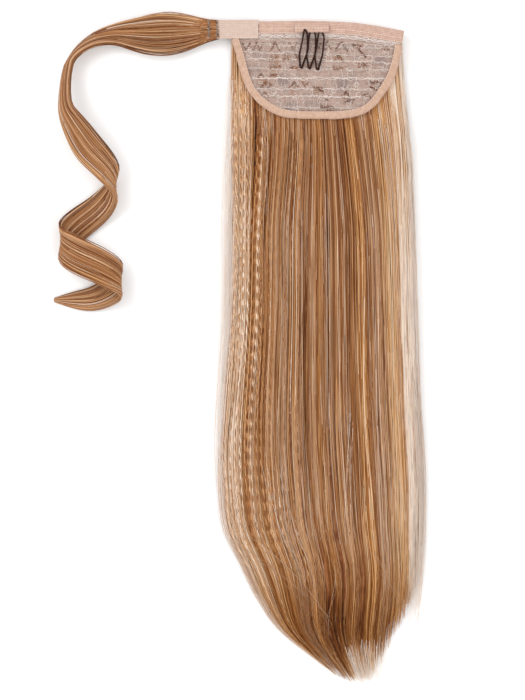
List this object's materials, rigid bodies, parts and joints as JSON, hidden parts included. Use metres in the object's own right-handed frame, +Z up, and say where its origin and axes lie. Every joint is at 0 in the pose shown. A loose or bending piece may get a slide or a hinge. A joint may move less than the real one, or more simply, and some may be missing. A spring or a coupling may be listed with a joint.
{
  "type": "ponytail hairpiece",
  "caption": "Long straight wrap-around ponytail hairpiece with a netted D-shaped base, wire comb, hook tape tab and a curled wrap strand, lying flat.",
  "frame": {"origin": "middle of the underside of the whole hairpiece as it lies, on the surface it rests on", "axes": "+Y from the tips of the hair to the base's straight edge, +Z up from the surface, out of the inner side of the base, +X to the right with the wrap strand on the left"},
  "size_m": [0.2782, 0.5096, 0.0255],
  "materials": {
    "hair": "straight mixed brown and blonde hair fibre",
    "strand": "combed mixed brown and blonde hair fibre",
    "net": "fine lace net",
    "binding": "matt woven bias tape",
    "band": "matt ribbed tape",
    "patch": "matt woven tape",
    "hook": "fine hook tape",
    "weft": "sewn rows of hair",
    "wire": "dark brown coated wire"
  },
  "bodies": {
    "root": {"hair_ponytail": "hair", "base_net": "net", "edge_binding": "binding", "top_band": "band", "hook_tape": "hook", "comb_patch": "patch", "wire_comb": "wire", "weft_track_1": "weft", "weft_track_2": "weft", "weft_track_3": "weft", "weft_track_4": "weft", "weft_track_5": "weft", "weft_track_6": "weft", "wrap_strand": "strand"}
  },
  "joints": []
}
